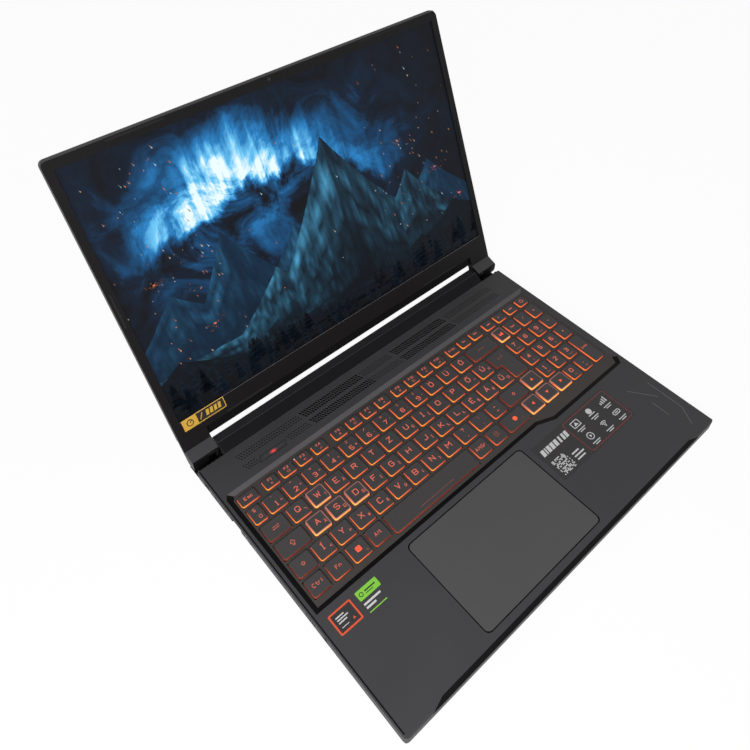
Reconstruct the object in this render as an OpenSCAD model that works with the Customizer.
// Notebook computer with a 16-inch display, open on its two hinges.
// X runs right, Y runs from the front edge to the rear, Z is up from the desk.

/* [Base] */
// Width of the base
base_w = 360.1; // [358:0.1:380]
// Depth from the front edge to the wall behind the vents
deck_d = 252; // [250:0.5:262]
// Depth of the tail that runs on behind the deck, between the hinges
tail_d = 27.9; // [26:0.1:32]
// How far the tail's ridge stands above the deck
tail_rise = 6; // [3:0.5:6.5]
// Gap between the tail and a hinge cover
tail_gap = 1.5; // [1:0.1:4]
// Height of the deck above the desk
base_h = 18.2; // [18:0.1:20]
// Height of the upright part of the side walls
wall_h = 10; // [9.6:0.1:10.5]
// How far the sides lean in below the upright part
undercut = 6; // [3:0.5:7]
// Wall thickness of the two base covers
shell = 1.6; // [1.4:0.1:1.8]
// Corner radius of the base in plan
corner_r = 3.5; // [2:0.5:6]
// Chamfer round the top edge
edge_c = 0.9; // [0.5:0.1:1.2]
// Height of the rubber feet
foot_h = 1.7; // [1.2:0.1:2]

/* [Finger notch] */
// Half of the notch's length
notch_half = 145; // [120:1:150]
// Depth of the notch from front to back
notch_d = 3.4; // [2:0.1:4]
// Height of the notch
notch_h = 2.4; // [1.5:0.1:3]

/* [Keyboard] */
// Width of the well's sloping sides in plan
well_slope = 4; // [3:0.1:4.5]
// Distance from the base's left side to the first key of each row
keys_left = 10.55; // [9.8:0.05:14]
// Distance from the base's right side to the last key of each row
keys_right = 10.6; // [9.8:0.05:14]
// Distance from the touchpad to the bottom row
keys_front = 15.2; // [14:0.1:20]
// Distance from the function row to the wall behind the vents
keys_rear = 40.4; // [39:0.1:44]
// Spacing of the letter keys
key_pitch = 18.96; // [18.8:0.01:19]
// Spacing of the rows
row_pitch = 18.5; // [18.2:0.1:18.6]
// Width of a letter key
key_w = 16.1; // [15:0.1:16.4]
// Depth of a letter key
key_d = 15.6; // [14.5:0.1:16]
// Depth of a function key
fn_key_d = 10.4; // [9:0.1:11]
// Distance from the front of the number row to the front of the function row
fn_row_step = 19.2; // [18:0.1:20]
// Right edge of the main key block, from the left edge of the first key
block_w = 273.4; // [273:0.1:274]
// Gap between the main key block and the number pad
pad_gap = 4.8; // [4.1:0.1:5.6]
// Column spacing of the number pad
pad_pitch = 16.05; // [15.8:0.01:16.1]
// Width of a number pad key
pad_key_w = 12.6; // [11.8:0.1:13]
// Corner radius of a keycap
key_r = 1.8; // [1:0.1:2.5]
// Step in from a keycap's skirt to its top
key_step = 0.6; // [0.3:0.1:0.9]
// How far a key goes down
key_travel = 1.5; // [1:0.1:1.5]
// Gap between a keycap and the keyboard grid
key_gap = 0.3; // [0.25:0.05:0.4]

/* [Touchpad] */
// Width of the touchpad
touch_w = 126.5; // [110:0.5:140]
// Depth of the touchpad
touch_d = 83.3; // [70:0.1:84]
// Centre of the touchpad, left of the base's middle
touch_x = 31.9; // [25:0.1:40]
// Front edge of the touchpad
touch_front = 9.5; // [9:0.1:11]
// Corner radius of the touchpad
touch_r = 4.5; // [3:0.5:6]
// Gap round the touchpad
touch_gap = 0.45; // [0.4:0.05:0.6]

/* [Lid] */
// How far each side of the lid stands in from the base's
lid_inset = 0.05; // [0:0.05:1]
// How far behind the base's front edge the closed lid ends
lid_setback = 0; // [0:0.1:2]
// Thickness of the lid
lid_t = 6.4; // [6:0.1:7]
// Angle the lid is open
lid_angle = 112.07; // [0:0.01:125]
// Gap between the closed lid and the deck
lid_gap = 0.8; // [0.8:0.1:1]
// Bezel beside the display opening
bezel_side = 6.75; // [6:0.05:9]
// Bezel above the display opening
bezel_top = 7.3; // [7:0.1:8]
// Bezel below the display opening
bezel_chin = 16.6; // [14:0.1:20]
// Thickness of the bezel
bezel_t = 1.2; // [1:0.1:1.3]
// Thickness of the lid cover's back
lid_back = 1.8; // [1.4:0.1:1.9]
// Thickness of the lid cover's rim
lid_rim = 1.4; // [1:0.1:1.6]
// Corner radius of the lid
lid_r = 4.5; // [3:0.5:6]
// How far the lid's top edge rises from the bezel to the back
lid_rise = 1.3; // [0.6:0.1:1.6]
// Lower edge of the lid above the hinge axis
strip_low = 12.8; // [12.5:0.1:14]
// Lower edge of the bezel above the hinge axis
bezel_low = 21.5; // [21:0.1:23]
// How far the strip below the bezel is set back
strip_back = 2.5; // [2:0.1:3]
// Height of the rubber bumpers on the bezel
bumper_h = 0.45; // [0.3:0.05:0.45]

/* [Hinge] */
// Hinge axis behind the wall of the deck
axis_behind = 10.9; // [10.8:0.1:12]
// Hinge axis below the deck
axis_drop = 0.5; // [0.3:0.1:0.8]
// Width of a hinge cover
ear_w = 24.2; // [23.6:0.1:25]
// Radius of the hinge pin
pin_r = 2.5; // [2:0.1:2.6]
// Radius of the knuckle on the base
knuckle_r = 4.6; // [4.2:0.1:4.6]
// Radius of the barrel on the lid
barrel_r = 4.5; // [4.2:0.1:4.5]
// Width of the knuckle
knuckle_w = 7; // [6:0.5:7]
// Width of the barrel
barrel_w = 9; // [7:0.5:9]
// Radial running clearance on the pin
run_gap = 0.05; // [0.02:0.01:0.08]
// Thickness of the bracket's post
post_t = 4.2; // [3:0.1:4.2]

/* [Ports] */
// Height of the ports' centre above the seam between the two covers
port_up = 4; // [3.8:0.1:4.2]
// Gap between a port and the case
port_gap = 0.2; // [0.1:0.05:0.3]
// Radius of the headphone jack's bore
jack_r = 1.8; // [1.76:0.01:1.9]
// Depth of the headphone jack's bore
jack_len = 12; // [10:0.5:13]

/* [Fans] */
// Radius of a fan rotor over its blades
rotor_r = 27; // [22:0.5:28]
// Radius of a rotor's hub
hub_r = 12; // [9:0.5:14]
// Number of blades on a rotor
blades = 29; // [15:2:35]
// Radius of a rotor's shaft
shaft_r = 1.5; // [1:0.1:2]

/* [Hidden] */

$fn = 32;
eps = 0.01;
far = 2 * base_w;

// Colours
case_c = [0.20, 0.20, 0.21];
key_c = [0.17, 0.16, 0.16];
clear_c = [0.75, 0.60, 0.58];
metal_c = [0.62, 0.63, 0.65];
copper_c = [0.72, 0.42, 0.26];
board_c = [0.07, 0.20, 0.16];
rubber_c = [0.10, 0.10, 0.10];

// Levels of the base
base_d = deck_d + tail_d;
half_w = base_w / 2;
knee_z = base_h - wall_h;
floor_z = foot_h + shell;
plate_z = base_h - shell;
port_z = knee_z + port_up;

// The keyboard's grid lies against the underside of the deck
grid_top = plate_z;
grid_t = 1.2;
grid_z = grid_top - grid_t;
cap_top = base_h - 0.1;
cap_low = grid_top - 0.7;
skirt_h = 1.3;
support_gap = 0.3;
support_z = cap_low - key_travel - support_gap;
support_t = 1;

// Hinge axis and the lid's own frame: x as the base, y up the lid, z out of the screen
axis_y = deck_d + axis_behind;
axis_z = base_h - axis_drop;
axis_s = lid_gap + axis_drop;
lean = 180 - lid_angle;
lid_w = base_w - 2 * lid_inset;
lid_top = axis_y - lid_setback;
screen_w = lid_w - 2 * bezel_side;
screen_top = lid_top - bezel_top;
screen_low = bezel_low + bezel_chin;
lid_back_c = 0.8;
lid_rear = axis_y + (lid_top + lid_rise - lid_back_c) * cos(lean) + (lid_t + axis_s) * sin(lean);
origin_y = max(base_d, lid_rear) / 2;

// Places along the hinge and the width of the tail between the hinge covers
part_gap = 0.4;
ear_out = lid_w / 2 - 0.3;
ear_in = ear_out - ear_w;
knuckle_in = ear_in + 2.7;
barrel_in = knuckle_in + knuckle_w + 1;
tail_half = ear_in - tail_gap;

// Front face of a hinge cover in the lid's frame, from its upper edge to its foot
ear_edge = 11.2;
ear_foot = [3.9, 8];

// ---------- key places ----------
// The layout is drawn in millimetres from the left end of the bottom row, then spread to fill the
// space between the margins. A key is [x, y, width, depth]; rows count up from the bottom row.
touch_rear = touch_front + touch_d;
key_x0 = keys_left - half_w;
key_x1 = half_w - keys_right;
key_y0 = touch_rear + keys_front;
key_y1 = deck_d - keys_rear;
function pad_x(c) = block_w + pad_gap + c * pad_pitch;
fn_row = 4 * row_pitch + fn_row_step;
spread_x = (key_x1 - key_x0) / (pad_x(3) + pad_key_w);
spread_y = (key_y1 - key_y0) / (fn_row + fn_key_d);
function place(x, y, w, d) = [key_x0 + x * spread_x, key_y0 + y * spread_y, w * spread_x, d * spread_y];
function key(x, r, w) = place(x, r * row_pitch, w, key_d);
function run(x, r, n) = [for (i = [0 : n - 1]) key(x + i * key_pitch, r, key_w)];
function pad(c, r) = key(pad_x(c), r, pad_key_w);
function fn_keys(x, n, w, pitch) = [for (i = [0 : n - 1]) place(x + i * pitch, fn_row, w, fn_key_d)];

// Function row: escape, three groups of four keys, three narrow keys and the media keys
escape_w = 16.5;
fn_from = [22.9, 92.5, 160.7];
fn_key_w = 13.2;
fn_pitch = 16.3;
edit_from = 229;
edit_w = 12.2;
edit_pitch = 15.6;
fn_pad_w = pad_key_w - 0.3;

// Left ends of the letter runs in each row, and the keys beside them
corner_w = 11.2;
number_from = 14.1;
tab_w = 20.5;
upper_from = 23.6;
caps_w = 25.5;
home_from = 28.8;
home_end_w = 17.6;
shift_w = 17.9;
angle_x = 20.2;
angle_w = 15.4;
lower_from = 38.3;
right_shift_w = 25.3;
enter_from = upper_from + 12 * key_pitch;
enter_step = 5.8;

// Bottom row
control_w = 15.6;
function_x = 19;
function_w = 15.9;
system_x = 38.3;
alt_x = 57.3;
space_x = 76.1;
space_w = 91.7;
space_drop = 2.5;
alt_right_x = 170.7;
menu_x = 190;
menu_w = 15.8;
control_right_x = 208.5;
control_right_w = 26.4;
arrow_w = 16.9;
arrow_x = block_w - arrow_w;
arrow_gap = 2.1;

function_keys = concat(
    fn_keys(0, 1, escape_w, 0), [for (x = fn_from) each fn_keys(x, 4, fn_key_w, fn_pitch)],
    fn_keys(edit_from, 3, edit_w, edit_pitch), fn_keys(pad_x(0) + 0.1, 3, fn_pad_w, pad_pitch));
number_keys = concat(
    [key(0, 4, corner_w)], run(number_from, 4, 12),
    [key(number_from + 12 * key_pitch, 4, block_w - number_from - 12 * key_pitch)]);
upper_keys = concat([key(0, 3, tab_w)], run(upper_from, 3, 1), run(upper_from + 2 * key_pitch, 3, 10));
home_keys = concat(
    [key(0, 2, caps_w)], run(home_from + 3 * key_pitch, 2, 8),
    [key(home_from + 11 * key_pitch, 2, home_end_w)]);
lower_keys = concat(
    [key(0, 1, shift_w), key(angle_x, 1, angle_w)], run(lower_from, 1, 10),
    [key(lower_from + 10 * key_pitch, 1, right_shift_w)]);
bottom_keys = [
    key(0, 0, control_w), key(function_x, 0, function_w), key(system_x, 0, key_w), key(alt_x, 0, function_w),
    key(alt_right_x, 0, control_w), key(menu_x, 0, menu_w), key(control_right_x, 0, control_right_w)];
numpad = concat(
    [for (c = [0 : 3], r = [2 : 4]) pad(c, r)], [for (c = [0 : 2]) pad(c, 1)], [for (c = [1, 2]) pad(c, 0)],
    [place(pad_x(3), 0, pad_key_w, row_pitch + key_d)]);
space_bar = place(space_x, -space_drop, space_w, key_d + space_drop);
power_key = place(pad_x(3) + 0.1, fn_row, fn_pad_w, fn_key_d);
w_key = key(upper_from + key_pitch, 3, key_w);
a_key = key(home_from, 2, key_w);
s_key = key(home_from + key_pitch, 2, key_w);
d_key = key(home_from + 2 * key_pitch, 2, key_w);
up_key = key(arrow_x, 1, arrow_w);
left_key = key(arrow_x - arrow_w - arrow_gap, 0, arrow_w);
down_key = key(arrow_x, 0, arrow_w);
right_key = key(block_w + arrow_gap + 0.2, 0, pad_x(1) - block_w - 2 * arrow_gap - 0.4);
enter_upper = key(enter_from, 3, block_w - enter_from);
enter_lower = place(
    enter_from + enter_step, 2 * row_pitch, block_w - enter_from - enter_step, row_pitch + key_d);

all_keys = concat(
    function_keys, number_keys, upper_keys, home_keys, lower_keys, bottom_keys, numpad,
    [space_bar, power_key, w_key, a_key, s_key, d_key, up_key, left_key, down_key, right_key],
    [enter_upper, enter_lower]);

// Well outline: the main rectangle and the step forward under the arrow keys and the number pad
well_left = key_x0 - 6.1;
well_right = key_x1 + 7.55;
well_front = space_bar[1] - 7.2;
well_rear = key_y1 + 7.4;
well_nick = [2.6, 4];
step_front = well_front - 6.6;
step_from = left_key[0] - 6.8;
step_run = 17.1;
step_nick = [5, 8.3];
grid_lip = 2.6;

// ---------- helpers ----------
module placed() {
    translate([0, -origin_y, 0]) children();
}

module on_lid() {
    placed() translate([0, axis_y, axis_z]) rotate([lean, 0, 0]) translate([0, 0, -axis_s]) children();
}

// A box from one corner to the other
module box(a, b) {
    translate(a) cube(b - a);
}

// A rounded rectangle with its lower left corner at the origin
module round_rect(w, d, r) {
    translate([r, 0]) square([w - 2 * r, d]);
    translate([0, r]) square([w, d - 2 * r]);
    for (x = [r, w - r], y = [r, d - r]) translate([x, y]) circle(r);
}

// A plate with round corners
module round_plate(x, y, w, d, r, z, t) {
    translate([x, y, z]) linear_extrude(t) round_rect(w, d, r);
}

// A profile in Y and Z drawn out along X
module along_x(x0, x1) {
    translate([x0, 0, 0]) rotate([90, 0, 90]) linear_extrude(x1 - x0) children();
}

// A profile in X and Z drawn out along Y
module along_y(y0, y1) {
    translate([0, y1, 0]) rotate([90, 0, 0]) linear_extrude(y1 - y0) children();
}

module rod_x(x0, x1, y, z, r) {
    translate([x0, y, z]) rotate([0, 90, 0]) cylinder(r = r, h = x1 - x0, $fn = 48);
}

// The left piece as drawn, the right one mirrored
module left_side() {
    mirror([1, 0, 0]) children();
}

// ---------- base covers ----------
function lean_in(z) = max(0, knee_z - z) * undercut / (knee_z - foot_h);

tail_join = 20;
// The tail's side view: its ridge behind the deck, then [before its rear end, height below the ridge or
// above the feet] of its rear edge and of its foot
tail_ridge = 9;
tail_edge = [10.4, 0.7];
tail_foot = [3.9, 4.5];
shelf_d = axis_behind + post_t + part_gap;
shelf_top = knee_z - 0.2;

// The whole base as a solid, each wall set in by g
module base_solid(g) {
    low = foot_h + g;
    top = base_h - g;
    half = half_w - g;
    intersection() {
        along_y(g, deck_d - g) polygon([
            [-half + lean_in(low), low], [half - lean_in(low), low], [half, knee_z], [half, top - edge_c],
            [half - edge_c, top], [-half + edge_c, top], [-half, top - edge_c], [-half, knee_z]]);
        along_x(-half, half) polygon([
            [g + lean_in(low), low], [deck_d - g, low], [deck_d - g, top], [g + edge_c, top],
            [g, top - edge_c], [g, knee_z]]);
        round_plate(-half, g, 2 * half, deck_d - g + corner_r, corner_r, 0, base_h + 1);
    }
    along_x(g - tail_half, tail_half - g) polygon([
        [deck_d - tail_join, low], [base_d - g - tail_foot[0], low], [base_d - g, foot_h + tail_foot[1]],
        [base_d - g - tail_edge[0], top + tail_rise - tail_edge[1]], [deck_d + tail_ridge, top + tail_rise],
        [deck_d, top], [deck_d - tail_join, top]]);
    along_y(deck_d - g - 1, deck_d + shelf_d - g) polygon([
        [lean_in(low) - half, low], [half - lean_in(low), low],
        [half - lean_in(shelf_top - g), shelf_top - g], [lean_in(shelf_top - g) - half, shelf_top - g]]);
}

bracket_rim = 4;
bracket_half = touch_w / 2 + touch_gap + bracket_rim;
screw_in = 7;
screw_x = [
    screw_in - tail_half, -touch_x - bracket_half - 12.4,
    bracket_half - touch_x + 14.2, tail_half - screw_in];
screw_rows = [9.8, deck_d - 4.6];
boss_r = 2.8;
screw_r = 1.2;
head_r = 2.6;
head_t = 1;
screw_len = 7;

module at_screws() {
    for (x = screw_x, y = screw_rows) translate([x, y, 0]) children();
}

// Fans and the air ways that serve them
fan_x = tail_half - 28;
fan_half = 32;
fan_y = deck_d - 46;
fan_low = floor_z + 0.6;
fan_t = support_z - support_t - 0.4 - fan_low;
fin_y0 = deck_d + 4;
fin_d = tail_d - 11.9;
fin_t = 0.5;
fin_pitch = 2.4;
fin_half = tail_half - shell - part_gap - fan_x;
slot_pitch = 3.2;
slot_w = 1.7;
floor_slots_w = 56;
floor_slot_d = 15;
floor_slot_step = 18;

// Rows of upright slots, centred on x = 0
module slots(len, w, pitch, y0, y1, z0, z1) {
    n = floor(len / pitch);
    for (i = [0 : n - 1]) translate([(i - (n - 1) / 2) * pitch, 0, 0]) box([-w / 2, y0, z0], [w / 2, y1, z1]);
}

// The bracket's post stands a little more behind the axis than before it
post_front = post_t * 0.36;
post_rear = post_t - post_front;

module hinge_way() {
    for (s = [-1, 1]) translate([s * (knuckle_in + knuckle_w / 2), 0, 0])
        box([-knuckle_w / 2 - part_gap, deck_d - shell - 1, floor_z + 0.9],
            [knuckle_w / 2 + part_gap, axis_y + post_rear + part_gap, knee_z + 1]);
}

module bottom_cover() {
    color(case_c) placed() difference() {
        intersection() {
            base_solid(0);
            box([-far, -1, 0], [far, far, knee_z]);
        }
        intersection() {
            base_solid(shell);
            box([-far, -1, 0], [far, far, knee_z + 1]);
        }
        for (s = [-1, 1]) translate([s * fan_x, 0, 0])
            for (k = [-1 : 1]) translate([0, fan_y + k * floor_slot_step, 0])
                slots(floor_slots_w, slot_w, slot_pitch, -floor_slot_d / 2, floor_slot_d / 2, 0, floor_z + 1);
        at_screws() {
            cylinder(r = screw_r + 0.2, h = floor_z + 1);
            cylinder(r = head_r + 0.2, h = foot_h + head_t + 0.1);
        }
        hinge_way();
        port_cuts();
    }
}

// Slanted vents in two bands on each side of the middle
vent_pitch = 2.5;
vent_w = 1.45;
vent_run = 3.6;

module vent_band(x0, x1, y0, y1) {
    for (i = [0 : floor((x1 - x0) / vent_pitch)]) translate([x0 + i * vent_pitch, 0, plate_z - 1])
        linear_extrude(shell + 2) polygon([[0, y1], [vent_w, y1], [vent_w + vent_run, y0], [vent_run, y0]]);
}

module vents() {
    upper = deck_d - 15;
    lower = deck_d - 25.8;
    upper_d = 7.6;
    lower_d = 7;
    vent_band(-85, -21, upper, upper + upper_d);
    vent_band(20, 83, upper, upper + upper_d);
    vent_band(-82, -17, lower, lower + lower_d);
    vent_band(23, 86, lower, lower + lower_d);
}

// Upright ribs on the wall in front of each hinge cover, clear of the cover's foot when the lid is shut
rib_t = 0.8;
rib_d = axis_behind - ear_edge + (shell + lid_gap) * (ear_edge - ear_foot[0]) / ear_foot[1] - part_gap;
rib_run = 2;
rib_pitch = 4;

module hinge_ribs() {
    foot = deck_d + rib_d + rib_run;
    for (s = [-1, 1], x = [ear_in + 2 : rib_pitch : ear_out - 2]) translate([s * x, 0, 0])
        along_x(-rib_t / 2, rib_t / 2) polygon([
            [deck_d - shell / 2, knee_z + 0.3], [foot, knee_z + 0.3],
            [foot, plate_z - rib_run * ear_foot[1] / (ear_edge - ear_foot[0])], [deck_d + rib_d, plate_z],
            [deck_d - shell / 2, plate_z]]);
}

light_x = 57.75 - half_w;
light_y = deck_d - 23.7;

module light_shape(g) {
    polygon([[-11.8 - g, 2.2 + g], [10 + g, 2.2 + g], [11.8 + g, -2.2 - g], [-10 - g, -2.2 - g]]);
}

// Well outline set in by g: the main rectangle, and the step under the number pad
module well_main(g) {
    polygon([
        [well_left + g, well_front + g], [well_right - g, well_front + g], [well_right - g, well_rear - g],
        [well_left + well_nick[0] + g, well_rear - g], [well_left + g, well_rear - well_nick[1] - g]]);
}

module well_step(g) {
    polygon([
        [step_from + g / 2, well_front + g + eps], [step_from + step_run + g / 2, step_front + g],
        [well_right - step_nick[0] - g / 2, step_front + g],
        [well_right - g, step_front + step_nick[1] + g / 2], [well_right - g, key_y0],
        [step_from + g / 2, key_y0]]);
}

module well_cut() {
    hull() {
        translate([0, 0, base_h]) linear_extrude(1) well_main(0);
        translate([0, 0, grid_top - eps]) linear_extrude(eps) well_main(well_slope);
    }
    hull() {
        translate([0, 0, base_h]) linear_extrude(1) well_step(0);
        translate([0, 0, grid_top - eps]) linear_extrude(eps) well_step(well_slope);
    }
}

notch_end = 12;

module notch_cut() {
    intersection() {
        linear_extrude(base_h + 2) polygon([
            [-notch_half - notch_end, -1], [-notch_half - notch_end, 0], [-notch_half, notch_d],
            [notch_half, notch_d], [notch_half + notch_end, 0], [notch_half + notch_end, -1]]);
        along_x(-far / 2, far / 2) polygon([
            [-1, base_h - notch_h - notch_h / notch_d], [notch_d, base_h], [notch_d, base_h + 1],
            [-1, base_h + 1]]);
    }
}

// Ports along the sides: [width, height] of each, and its place in front of the wall behind the vents
usb_c = [9.3, 3.4];
usb_c_y = [deck_d - 132.5, deck_d - 112.5];
usb_a = [13.4, 5.9];
usb_a_y = [deck_d - 104, deck_d - 82];
hdmi = [15.4, 5.6];
hdmi_y = deck_d - 76;
lan = [13, 8];
lan_y = deck_d - 56;
lan_z = port_z - 1;
front_vent_y = deck_d - 157;
left_vent_y = deck_d - 43.5;
right_vent_y = deck_d - 56;
slot_step = 2.4;
slot_h = 5.2;
jack_y = deck_d - 169;
dc_y = deck_d - 13.5;
jack_body = 6.2;
dc_body = 8;
port_round = 0.5;
lan_deep = 2.2;

module port_cut(y, size, z) {
    along_x(-far / 2, shell + 1 - half_w)
        translate([y - size[0] / 2 - port_gap, z - size[1] / 2 - port_gap])
            round_rect(size[0] + 2 * port_gap, size[1] + 2 * port_gap, port_round);
}

// The socket for a network plug is square, deeper set and reaches below the seam
module lan_cut() {
    box([-far / 2, lan_y - lan[0] / 2 - port_gap, lan_z - lan[1] / 2 - port_gap],
        [shell + lan_deep + 0.3 - half_w, lan_y + lan[0] / 2 + port_gap, lan_z + lan[1] / 2 + port_gap]);
}

module side_slots(y0, n) {
    for (i = [0 : n - 1]) translate([0, y0 + i * slot_step, port_z])
        box([-far / 2, 0, -slot_h / 2], [shell + 1 - half_w, slot_step / 2, slot_h / 2]);
}

module port_cuts() {
    for (y = usb_c_y) port_cut(y, usb_c, port_z);
    port_cut(hdmi_y, hdmi, port_z);
    lan_cut();
    port_cut(jack_y, [jack_body, jack_body], port_z);
    port_cut(dc_y, [dc_body, dc_body], port_z);
    left_side() for (y = usb_a_y) port_cut(y, usb_a, port_z);
    side_slots(front_vent_y, 5);
    side_slots(left_vent_y, 8);
    left_side() side_slots(right_vent_y, 16);
}

module palmrest_cover() {
    color(case_c) placed() difference() {
        union() {
            difference() {
                intersection() {
                    base_solid(0);
                    box([-far, -1, knee_z], [far, far, base_h + tail_rise]);
                }
                intersection() {
                    base_solid(shell);
                    box([-far, -1, 0], [far, far, plate_z + tail_rise]);
                }
            }
            box([-notch_half - notch_end - 2, shell - eps, base_h - notch_h - shell],
                [notch_half + notch_end + 2, notch_d + 2, plate_z + eps]);
            hinge_ribs();
            at_screws() translate([0, 0, floor_z]) cylinder(r = boss_r, h = plate_z - floor_z - 3 * shell);
            at_screws() translate([0, 0, floor_z]) cylinder(r = boss_r - 0.4, h = plate_z - floor_z + eps);
        }
        at_screws() translate([0, 0, floor_z - 1]) cylinder(r = screw_r + 0.05, h = screw_len);
        well_cut();
        round_plate(-touch_x - touch_w / 2 - touch_gap, touch_front - touch_gap, touch_w + 2 * touch_gap,
            touch_d + 2 * touch_gap, touch_r + touch_gap, 0, base_h + 1);
        notch_cut();
        vents();
        translate([light_x, light_y, plate_z - 1]) linear_extrude(shell + 2) light_shape(0.1);
        port_cuts();
        for (s = [-1, 1]) translate([s * fan_x, 0, 0])
            slots(2 * fin_half, slot_w, slot_pitch, base_d - 9, base_d + 1, knee_z + 0.8, knee_z + 6);
    }
}

// ---------- keyboard ----------
// One cap: a skirt and a smaller top
module cap(k) {
    mid = cap_low + skirt_h;
    round_plate(k[0], k[1], k[2], k[3], key_r, cap_low, skirt_h);
    round_plate(k[0] + key_step, k[1] + key_step, k[2] - 2 * key_step, k[3] - 2 * key_step,
        key_r - key_step / 2, mid, cap_top - mid);
}

module caps(keys) {
    placed() for (k = keys) cap(k);
}

module keyboard_frame() {
    color(case_c) placed() difference() {
        union() {
            translate([0, 0, grid_z]) linear_extrude(grid_t) well_main(well_slope - grid_lip);
            translate([0, 0, grid_z]) linear_extrude(grid_t) well_step(well_slope - grid_lip);
        }
        for (k = all_keys)
            box([k[0] - key_gap, k[1] - key_gap, grid_z - 1],
                [k[0] + k[2] + key_gap, k[1] + k[3] + key_gap, grid_top + 1]);
    }
}

// The steel plate under the keys, held to the grid by short posts between the rows
module keyboard_plate() {
    rib = (row_pitch - key_d) * spread_y - 2 * key_gap;
    post = [8, rib / 2];
    color(metal_c) placed() {
        box([key_x0 + 2, key_y0 - 3, support_z - support_t], [key_x1 - 2, key_y1, support_z]);
        for (x = [key_x0 + 4, key_x1 - 4 - post[0]], r = [1 : 3]) let (k = key(0, r, 0))
            translate([x, k[1] + k[3] + key_gap + rib / 4, support_z - eps])
                cube([post[0], post[1], grid_z - support_z + eps]);
    }
}

module enter_key() {
    color(key_c) placed() union() {
        cap(enter_upper);
        cap(enter_lower);
    }
}

module function_row_keys() { color(key_c) caps(function_keys); }
module number_row_keys() { color(key_c) caps(number_keys); }
module upper_row_keys() { color(key_c) caps(upper_keys); }
module home_row_keys() { color(key_c) caps(home_keys); }
module lower_row_keys() { color(key_c) caps(lower_keys); }
module bottom_row_keys() { color(key_c) caps(bottom_keys); }
module numpad_keys() { color(key_c) caps(numpad); }
module space_key() { color(key_c) caps([space_bar]); }
module power_button() { color(key_c) caps([power_key]); }
module key_w_cap() { color(clear_c) caps([w_key]); }
module key_a_cap() { color(clear_c) caps([a_key]); }
module key_s_cap() { color(clear_c) caps([s_key]); }
module key_d_cap() { color(clear_c) caps([d_key]); }
module arrow_up_key() { color(clear_c) caps([up_key]); }
module arrow_left_key() { color(clear_c) caps([left_key]); }
module arrow_down_key() { color(clear_c) caps([down_key]); }
module arrow_right_key() { color(clear_c) caps([right_key]); }

// ---------- touchpad ----------
glass_top = base_h - 0.15;
glass_t = 1;
touch_board_t = 1.2;
touch_drop = 0.9;
bracket_t = 0.8;
bracket_side = 3.2;

module touchpad() {
    color([0.33, 0.32, 0.32]) placed()
        round_plate(-touch_x - touch_w / 2, touch_front, touch_w, touch_d, touch_r,
            glass_top - glass_t, glass_t);
}

module touchpad_board() {
    color(board_c) placed() translate([-touch_x, 0, glass_top - glass_t - touch_board_t])
        box([2 - touch_w / 2, touch_front + 2, 0], [touch_w / 2 - 2, touch_rear - 2, touch_board_t]);
}

// A tray under the touchpad that hangs from the deck
module touchpad_bracket() {
    low = glass_top - glass_t - touch_board_t - touch_drop - bracket_t;
    color(metal_c) placed() translate([-touch_x, 0, 0]) {
        box([-bracket_half, touch_front, low], [bracket_half, touch_rear - 4, low + bracket_t]);
        for (x = [-bracket_half, bracket_half - bracket_side])
            box([x, touch_front, low], [x + bracket_side, touch_rear - 4, plate_z]);
    }
}

// ---------- inside the base ----------
battery_front = 15;
battery_d = 83;
battery_h = 8.5;
battery_half = half_w - 32;
cell_gap = 1.7;
cell_w = (2 * battery_half - 3 * cell_gap) / 4;
cell_pitch = cell_w + cell_gap;
board_z = floor_z + 5.1;
board_t = 1.2;
board_half = fan_x - fan_half - 5;
board_front = battery_front + battery_d + 8;
board_rear = deck_d - 10;
board_wing = half_w - 20;
board_wing_rear = fan_y - fan_half - 6;
chip_t = 0.8;
plate_t = 1.5;
plate_rim = 4;
// A chip is [x, y, side]
chips = [[-38, fan_y - 16, 22], [34, fan_y - 18, 28]];
card_y = board_front + 8;
card_t = 1;
slot_d = 6;
wifi = [22, 22];
ssd = [80, 22];
memory = [69.6, 20];

module mainboard() {
    color(board_c) placed() {
        box([-board_wing, board_front, board_z], [board_wing, board_wing_rear, board_z + board_t]);
        box([-board_half, board_wing_rear - eps, board_z], [board_half, board_rear, board_z + board_t]);
        for (c = chips) translate([c[0], c[1], board_z - chip_t])
            box([-c[2] / 2, -c[2] / 2, 0], [c[2] / 2, c[2] / 2, chip_t + eps]);
    }
}

module cold_plates() {
    color(copper_c) placed() for (c = chips) let (half = c[2] / 2 + plate_rim)
        translate([c[0], c[1], board_z - chip_t - plate_t]) box([-half, -half, 0], [half, half, plate_t]);
}

pipe_w = 5;
pipe_t = 2.4;
pipe_z = board_z - chip_t - plate_t - pipe_t;

function unit(v) = v / norm(v);
function normal(a, b) = let (d = unit(b - a)) [-d[1], d[0]];

// The mitred side of a strip through points, half a width to the left of point i
function miter(p, i, half) =
    let (last = len(p) - 1,
         n0 = normal(p[max(i - 1, 0)], p[max(i, 1)]),
         n1 = normal(p[min(i, last - 1)], p[min(i + 1, last)]),
         n = unit(n0 + n1))
    p[i] + n * half / (n * n0);

// A flattened pipe through corner points
module pipe(p) {
    half = pipe_w / 2;
    last = len(p) - 1;
    translate([0, 0, pipe_z]) linear_extrude(pipe_t) polygon(concat(
        [for (i = [0 : last]) miter(p, i, half)], [for (i = [last : -1 : 0]) miter(p, i, -half)]));
}

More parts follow.
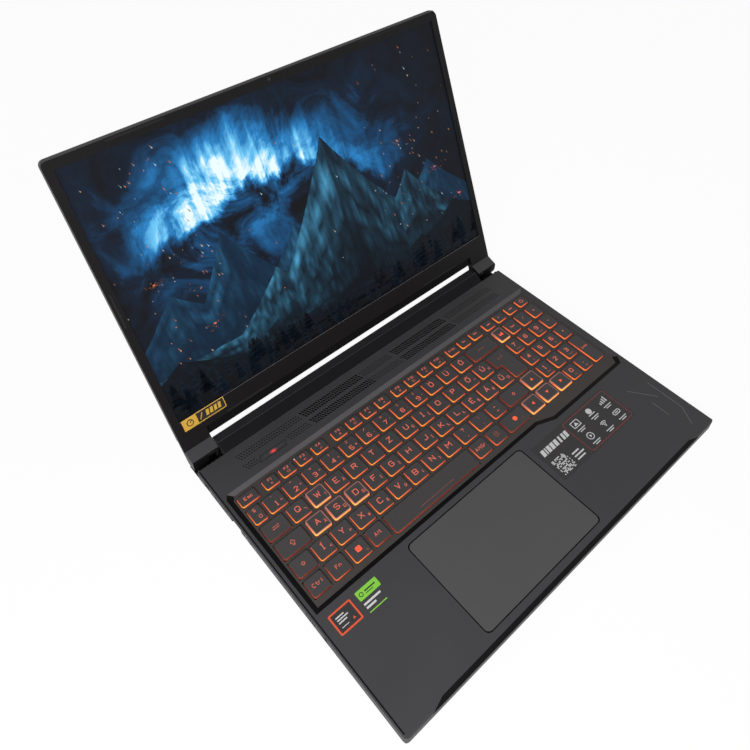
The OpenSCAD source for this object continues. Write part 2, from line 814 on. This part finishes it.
module heat_pipes() {
    outer = fin_half - 2;
    color(copper_c) placed() for (s = [-1, 1], k = [0, 1]) {
        step = k * (pipe_w + 1);
        turn_x = fan_x - fan_half - 9 - step;
        chip_y = chips[0][1] - 6 + step;
        fin_y = fin_y0 + 4 + step;
        pipe([
            [s * (34 - 20 * k), chip_y], [s * (fan_x - 51), chip_y], [s * turn_x, fan_y + step],
            [s * turn_x, fin_y - 9], [s * (turn_x + 6), fin_y], [s * (fan_x + outer), fin_y]]);
    }
}

fin_base = 0.6;
fin_drop = 7;
fin_top = base_h - fin_drop;

module fin_stacks() {
    z0 = pipe_z + pipe_t;
    n = floor((2 * fin_half - 1) / fin_pitch);
    color(copper_c) placed() for (s = [-1, 1]) translate([s * fan_x, fin_y0, z0]) {
        box([-fin_half, 0, 0], [fin_half, fin_d, fin_base]);
        for (i = [0 : n]) translate([(i - n / 2) * fin_pitch - fin_t / 2, 0, fin_base - 0.1])
            cube([fin_t, fin_d, fin_top - z0 - fin_base + 0.1]);
    }
}

fan_wall = 1;
fan_rear = fan_half + 4;
mouth_r = rotor_r - 5;
blade_h = 3.2;

module fan_housing() {
    color([0.12, 0.12, 0.13]) placed() translate([fan_x, fan_y, fan_low]) {
        difference() {
            box([-fan_half, -fan_half, 0], [fan_half, fan_rear, fan_t]);
            translate([0, 0, fan_wall]) cylinder(r = rotor_r + 2, h = fan_t - 2 * fan_wall, $fn = 64);
            box([-rotor_r - 2, 0, fan_wall], [rotor_r + 2, fan_rear + 1, fan_t - fan_wall]);
            difference() {
                translate([0, 0, -1]) cylinder(r = mouth_r, h = fan_t + 2, $fn = 64);
                translate([0, 0, -2]) cylinder(r = hub_r - 2, h = 2 + fan_wall);
                for (a = [0, 120, 240]) rotate(a) box([0, -2, -2], [rotor_r, 2, fan_wall]);
            }
        }
        difference() {
            cylinder(r = shaft_r + 1.5, h = 3);
            translate([0, 0, 0.8]) cylinder(r = shaft_r + run_gap, h = 3, $fn = 48);
        }
    }
}

// The shaft runs down into the housing's sleeve
module fan_rotor() {
    color([0.16, 0.16, 0.17]) placed() translate([fan_x, fan_y, fan_low]) {
        translate([0, 0, 1.1]) cylinder(r = shaft_r, h = 3, $fn = 48);
        translate([0, 0, 3.5]) cylinder(r = hub_r, h = 3.6, $fn = 48);
        for (i = [0 : blades - 1]) rotate(i * 360 / blades)
            translate([hub_r - 0.6, 0, 3.7]) rotate(-25) cube([rotor_r - hub_r - 0.6, 0.5, blade_h]);
    }
}

module fan_housing_right() { fan_housing(); }
module fan_housing_left() { left_side() fan_housing(); }
module fan_rotor_right() { fan_rotor(); }
module fan_rotor_left() { left_side() fan_rotor(); }

// Four cells side by side, joined at their edges
module battery_pack() {
    color([0.10, 0.10, 0.11]) placed() translate([-battery_half, battery_front, floor_z])
        for (i = [0 : 3]) translate([i * cell_pitch, 0, 0])
            cube([cell_w + (i < 3 ? cell_gap + eps : 0), battery_d, battery_h - (i % 2) * 0.6]);
}

wifi_x = 6 - board_wing;
ssd_x = wifi_x + wifi[0] + slot_d;
memory_gap = 4.4;

module wifi_card() {
    color([0.10, 0.22, 0.14]) placed() translate([wifi_x, card_y, board_z]) {
        box([0, 0, -2.6], [wifi[0], wifi[1], card_t - 2.6]);
        box([0, wifi[1] - 1, -3], [wifi[0], wifi[1] + slot_d - 1, 0]);
    }
}

module ssd_card() {
    color([0.05, 0.12, 0.25]) placed() translate([ssd_x, card_y, board_z]) {
        box([slot_d - 2, 0, -3], [slot_d - 2 + ssd[0], ssd[1], card_t - 3]);
        box([0, 0, -4], [slot_d, ssd[1], 0]);
    }
}

module memory_modules() {
    color([0.05, 0.25, 0.16]) placed() for (k = [1, 2])
        translate([board_wing - memory_gap - k * memory[0] - (k - 1) * memory_gap, card_y, board_z]) {
            box([0, 0, -3.2], [memory[0], memory[1], card_t - 3.2]);
            box([0, memory[1] - eps, -4], [memory[0], memory[1] + slot_d / 2, 0]);
        }
}

speaker_size = [15, 56, 8];
speaker_front = 18;
cone_r = 6;

module speaker() {
    color([0.14, 0.14, 0.15]) placed()
        translate([half_w - jack_len - 2.5 - speaker_size[0], speaker_front, floor_z]) difference() {
            cube(speaker_size);
            translate([speaker_size[0] / 2, speaker_size[1] - 16, 3])
                cylinder(r = cone_r, h = speaker_size[2]);
        }
}

module speaker_right() { speaker(); }
module speaker_left() { left_side() speaker(); }

module status_light() {
    color([0.55, 0.12, 0.10]) placed() translate([light_x, light_y, plate_z])
        linear_extrude(shell - 0.5) light_shape(0);
}

// ---------- ports ----------
port_face = 0.25;
port_depth = 9;

// A metal shell open to the left, with a tongue inside
module socket(y, size, z, wall, tongue) {
    x0 = port_face - half_w;
    difference() {
        box([x0, y - size[0] / 2, z - size[1] / 2], [x0 + port_depth, y + size[0] / 2, z + size[1] / 2]);
        box([x0 - 1, y - size[0] / 2 + wall, z - size[1] / 2 + wall],
            [x0 + port_depth - 1, y + size[0] / 2 - wall, z + size[1] / 2 - wall]);
    }
    if (tongue > 0)
        box([x0 + 1, y - size[0] / 2 + 3 * wall, z - tongue / 2],
            [x0 + port_depth - 1 + eps, y + size[0] / 2 - 3 * wall, z + tongue / 2]);
}

module usb_c_ports() {
    color(metal_c) placed() for (y = usb_c_y) socket(y, usb_c, port_z, 0.4, 0.7);
}

module usb_a_ports() {
    color(metal_c) placed() left_side() for (y = usb_a_y) socket(y, usb_a, port_z, 0.4, 1.4);
}

module hdmi_port() {
    color(metal_c) placed() socket(hdmi_y, hdmi, port_z, 0.5, 1.2);
}

module lan_port() {
    x0 = lan_deep - half_w;
    depth = port_depth - 1.6;
    wall = 0.6;
    color([0.08, 0.08, 0.08]) placed() difference() {
        box([x0, lan_y - lan[0] / 2, lan_z - lan[1] / 2],
            [x0 + depth, lan_y + lan[0] / 2, lan_z + lan[1] / 2]);
        box([x0 - 1, lan_y - lan[0] / 2 + wall, lan_z - lan[1] / 2 + wall],
            [x0 + depth - 1, lan_y + lan[0] / 2 - wall, lan_z + lan[1] / 2 - wall]);
    }
}

module audio_jack() {
    x0 = port_face - half_w;
    half = jack_body / 2;
    color([0.06, 0.06, 0.06]) placed() difference() {
        box([x0, jack_y - half, port_z - half], [x0 + jack_len + 1, jack_y + half, port_z + half]);
        rod_x(x0 - 1, x0 + jack_len, jack_y, port_z, jack_r);
    }
}

dc_len = 11;
dc_bore_r = 3.05;
dc_pin_r = 0.5;

module dc_jack() {
    x0 = port_face - half_w;
    half = dc_body / 2;
    color([0.06, 0.06, 0.06]) placed() {
        difference() {
            box([x0, dc_y - half, port_z - half], [x0 + dc_len, dc_y + half, port_z + half]);
            rod_x(x0 - 1, x0 + dc_len - 1.5, dc_y, port_z, dc_bore_r);
        }
        rod_x(x0 + 1.5, x0 + dc_len - 1.4, dc_y, port_z, dc_pin_r);
    }
}

// ---------- feet and screws ----------
foot_w = 50;
foot_d = 9;
foot_front = 14;
foot_in = 35.05;
rear_foot_in = 40.05;
rear_foot_d = 10;
rear_foot_gap = 2;
foot_r = 4;

module front_feet() {
    color(rubber_c) placed() for (x = [foot_in - half_w, half_w - foot_in - foot_w])
        round_plate(x, foot_front, foot_w, foot_d, foot_r, 0, foot_h);
}

module rear_foot() {
    half = half_w - rear_foot_in;
    color(rubber_c) placed()
        round_plate(-half, deck_d - rear_foot_gap - rear_foot_d, 2 * half, rear_foot_d, foot_r, 0, foot_h);
}

module bottom_screws() {
    color(metal_c) placed() at_screws() translate([0, 0, foot_h + 0.1]) {
        cylinder(r = head_r, h = head_t);
        cylinder(r = screw_r, h = screw_len);
    }
}

// ---------- hinges ----------
// Everything here is drawn for the right hinge
module hinge_bracket() {
    x0 = knuckle_in;
    x1 = knuckle_in + knuckle_w;
    foot_z = floor_z + 1.3;
    color(metal_c) placed() {
        rod_x(x0, x1, axis_y, axis_z, knuckle_r);
        rod_x(x0 + 1, barrel_in + barrel_w - 0.5, axis_y, axis_z, pin_r);
        box([x0, axis_y - post_front, foot_z], [x1, axis_y + post_rear, axis_z]);
        box([x0, deck_d - 9, foot_z], [x1, axis_y + post_rear, foot_z + 2.4]);
        box([x0 - 2, deck_d - 9, floor_z], [x1 + 4, deck_d - shell - 0.4, foot_z + 2.4]);
    }
}

module hinge_bracket_right() { hinge_bracket(); }
module hinge_bracket_left() { left_side() hinge_bracket(); }

ear_top = bezel_low - 0.2;
back_s = -lid_t;
inner_s = lid_back - lid_t;
ear_round = lid_t + axis_s;

// Side view of a hinge cover, y up the lid from the axis and z out of the screen
module ear_profile() {
    polygon([
        [ear_top, -bezel_t], [ear_edge, -bezel_t], [ear_edge, 0], ear_foot, [2.5, 8.3], [-2.2, 6.2],
        [-5.4, 4.2], [-7.5, axis_s], [-5, axis_s - 5], [0, back_s], [ear_top, back_s]]);
    intersection() {
        translate([0, axis_s]) circle(ear_round, $fn = 64);
        translate([-20, axis_s - 20]) square([40, 20]);
    }
}

// The sector that the bracket's post sweeps as the lid turns
module post_sweep() {
    from = 67;
    to = 253;
    steps = 8;
    translate([0, axis_s]) polygon(concat([[0, 0]],
        [for (i = [0 : steps]) let (a = from + (to - from) * i / steps) [15 * cos(a), 15 * sin(a)]]));
}

module hinge_cover() {
    x1 = knuckle_in + knuckle_w + part_gap;
    color(case_c) on_lid() difference() {
        along_x(ear_in, ear_out) ear_profile();
        rod_x(knuckle_in - part_gap, x1 + eps, 0, axis_s, knuckle_r + part_gap);
        along_x(knuckle_in - part_gap, x1) post_sweep();
        rod_x(x1 - 1, barrel_in + barrel_w + part_gap, 0, axis_s, barrel_r + 0.2);
        box([barrel_in - part_gap, 0, inner_s],
            [barrel_in + barrel_w + part_gap, ear_top + 1, inner_s + leaf_t + part_gap]);
    }
}

module hinge_cover_right() { hinge_cover(); }
module hinge_cover_left() { left_side() hinge_cover(); }

leaf_t = 1.8;
leaf_top = screen_low - 5;

module hinge_arm() {
    color(metal_c) on_lid() difference() {
        union() {
            rod_x(barrel_in, barrel_in + barrel_w, 0, axis_s, barrel_r);
            box([barrel_in, 0, inner_s], [barrel_in + barrel_w, leaf_top, inner_s + leaf_t]);
        }
        rod_x(barrel_in - 1, barrel_in + barrel_w + 1, 0, axis_s, pin_r + run_gap);
    }
}

module hinge_arm_right() { hinge_arm(); }
module hinge_arm_left() { left_side() hinge_arm(); }

// ---------- lid ----------
module lid_outline(g, low, rise = 0) {
    intersection() {
        translate([g - lid_w / 2, 0]) round_rect(lid_w - 2 * g, lid_top - g + rise, lid_r);
        translate([-far / 2, low]) square([far, far]);
    }
}

module lid_cover() {
    color(case_c) on_lid() difference() {
        union() {
            intersection() {
                translate([0, 0, back_s]) linear_extrude(lid_t - bezel_t) lid_outline(0, bezel_low, lid_rise);
                along_x(-far / 2, far / 2) polygon([
                    [0, back_s], [lid_top + lid_rise - lid_back_c, back_s],
                    [lid_top + lid_rise, back_s + lid_back_c], [lid_top + lid_rise, -bezel_t - 2 * lid_rise],
                    [lid_top, -bezel_t], [0, -bezel_t]]);
            }
            box([part_gap - ear_in, strip_low, back_s], [ear_in - part_gap, bezel_low + 1, -strip_back]);
        }
        translate([0, 0, inner_s]) linear_extrude(lid_t) lid_outline(lid_rim, bezel_low + lid_rim);
        for (s = [-1, 1]) translate([s * (barrel_in + barrel_w / 2), 0, 0])
            box([-barrel_w / 2 - part_gap, bezel_low - 1, inner_s],
                [barrel_w / 2 + part_gap, bezel_low + 3, inner_s + leaf_t + part_gap]);
    }
}

camera_y = lid_top - 3;
camera_half = 34;

module bezel() {
    color([0.09, 0.085, 0.09]) on_lid() difference() {
        union() {
            translate([0, 0, -bezel_t]) linear_extrude(bezel_t) lid_outline(0, bezel_low);
            for (x = [-lid_w / 2, ear_in]) translate([x, 0, 0])
                box([0, ear_edge, -bezel_t], [lid_w / 2 - ear_in, bezel_low + 1, 0]);
        }
        box([-screen_w / 2, screen_low, -far], [screen_w / 2, screen_top, far]);
        translate([0, camera_y, -bezel_t - 1]) cylinder(r = 1.6, h = bezel_t + 2);
    }
}

panel_edge = 1.6;

module display_panel() {
    color([0.04, 0.08, 0.25]) on_lid()
        box([-screen_w / 2 - panel_edge, screen_low - panel_edge - 2, inner_s],
            [screen_w / 2 + panel_edge, screen_top + panel_edge, -bezel_t]);
}

module camera_module() {
    color([0.05, 0.05, 0.06]) on_lid() {
        box([-camera_half, screen_top + panel_edge + 0.3, inner_s],
            [camera_half, lid_top - lid_rim - 0.3, -bezel_t]);
        translate([0, camera_y, -bezel_t - eps]) cylinder(r = 1.4, h = bezel_t - 0.2);
    }
}

bumper_w = 1.8;
bumper_len = 45;
side_bumper_len = 30;
bumper_in = 45;

module bezel_bumpers() {
    color(rubber_c) on_lid() for (s = [-1, 1]) {
        translate([s * (lid_w / 2 - bumper_in - bumper_len / 2), 0, 0])
            for (y = [lid_top - 0.6 - bumper_w, bezel_low + 1])
                round_plate(-bumper_len / 2, y, bumper_len, bumper_w, 0.8, 0, bumper_h);
        translate([s * (lid_w / 2 - 1.9 - bumper_w / 2), 0, 0])
            round_plate(-bumper_w / 2, lid_top / 2, bumper_w, side_bumper_len, 0.8, 0, bumper_h);
    }
}

// ---------- output ----------
bottom_cover();
palmrest_cover();
keyboard_frame();
keyboard_plate();
mainboard();
cold_plates();
heat_pipes();
fin_stacks();
fan_housing_left();
fan_housing_right();
fan_rotor_left();
fan_rotor_right();
battery_pack();
ssd_card();
memory_modules();
wifi_card();
speaker_left();
speaker_right();
touchpad();
touchpad_board();
touchpad_bracket();
hinge_bracket_left();
hinge_bracket_right();
front_feet();
rear_foot();
bottom_screws();
usb_a_ports();
usb_c_ports();
hdmi_port();
lan_port();
audio_jack();
dc_jack();
status_light();
lid_cover();
bezel();
display_panel();
hinge_cover_left();
hinge_cover_right();
hinge_arm_left();
hinge_arm_right();
camera_module();
bezel_bumpers();
function_row_keys();
number_row_keys();
upper_row_keys();
home_row_keys();
lower_row_keys();
bottom_row_keys();
numpad_keys();
enter_key();
space_key();
power_button();
key_w_cap();
key_a_cap();
key_s_cap();
key_d_cap();
arrow_up_key();
arrow_left_key();
arrow_down_key();
arrow_right_key();
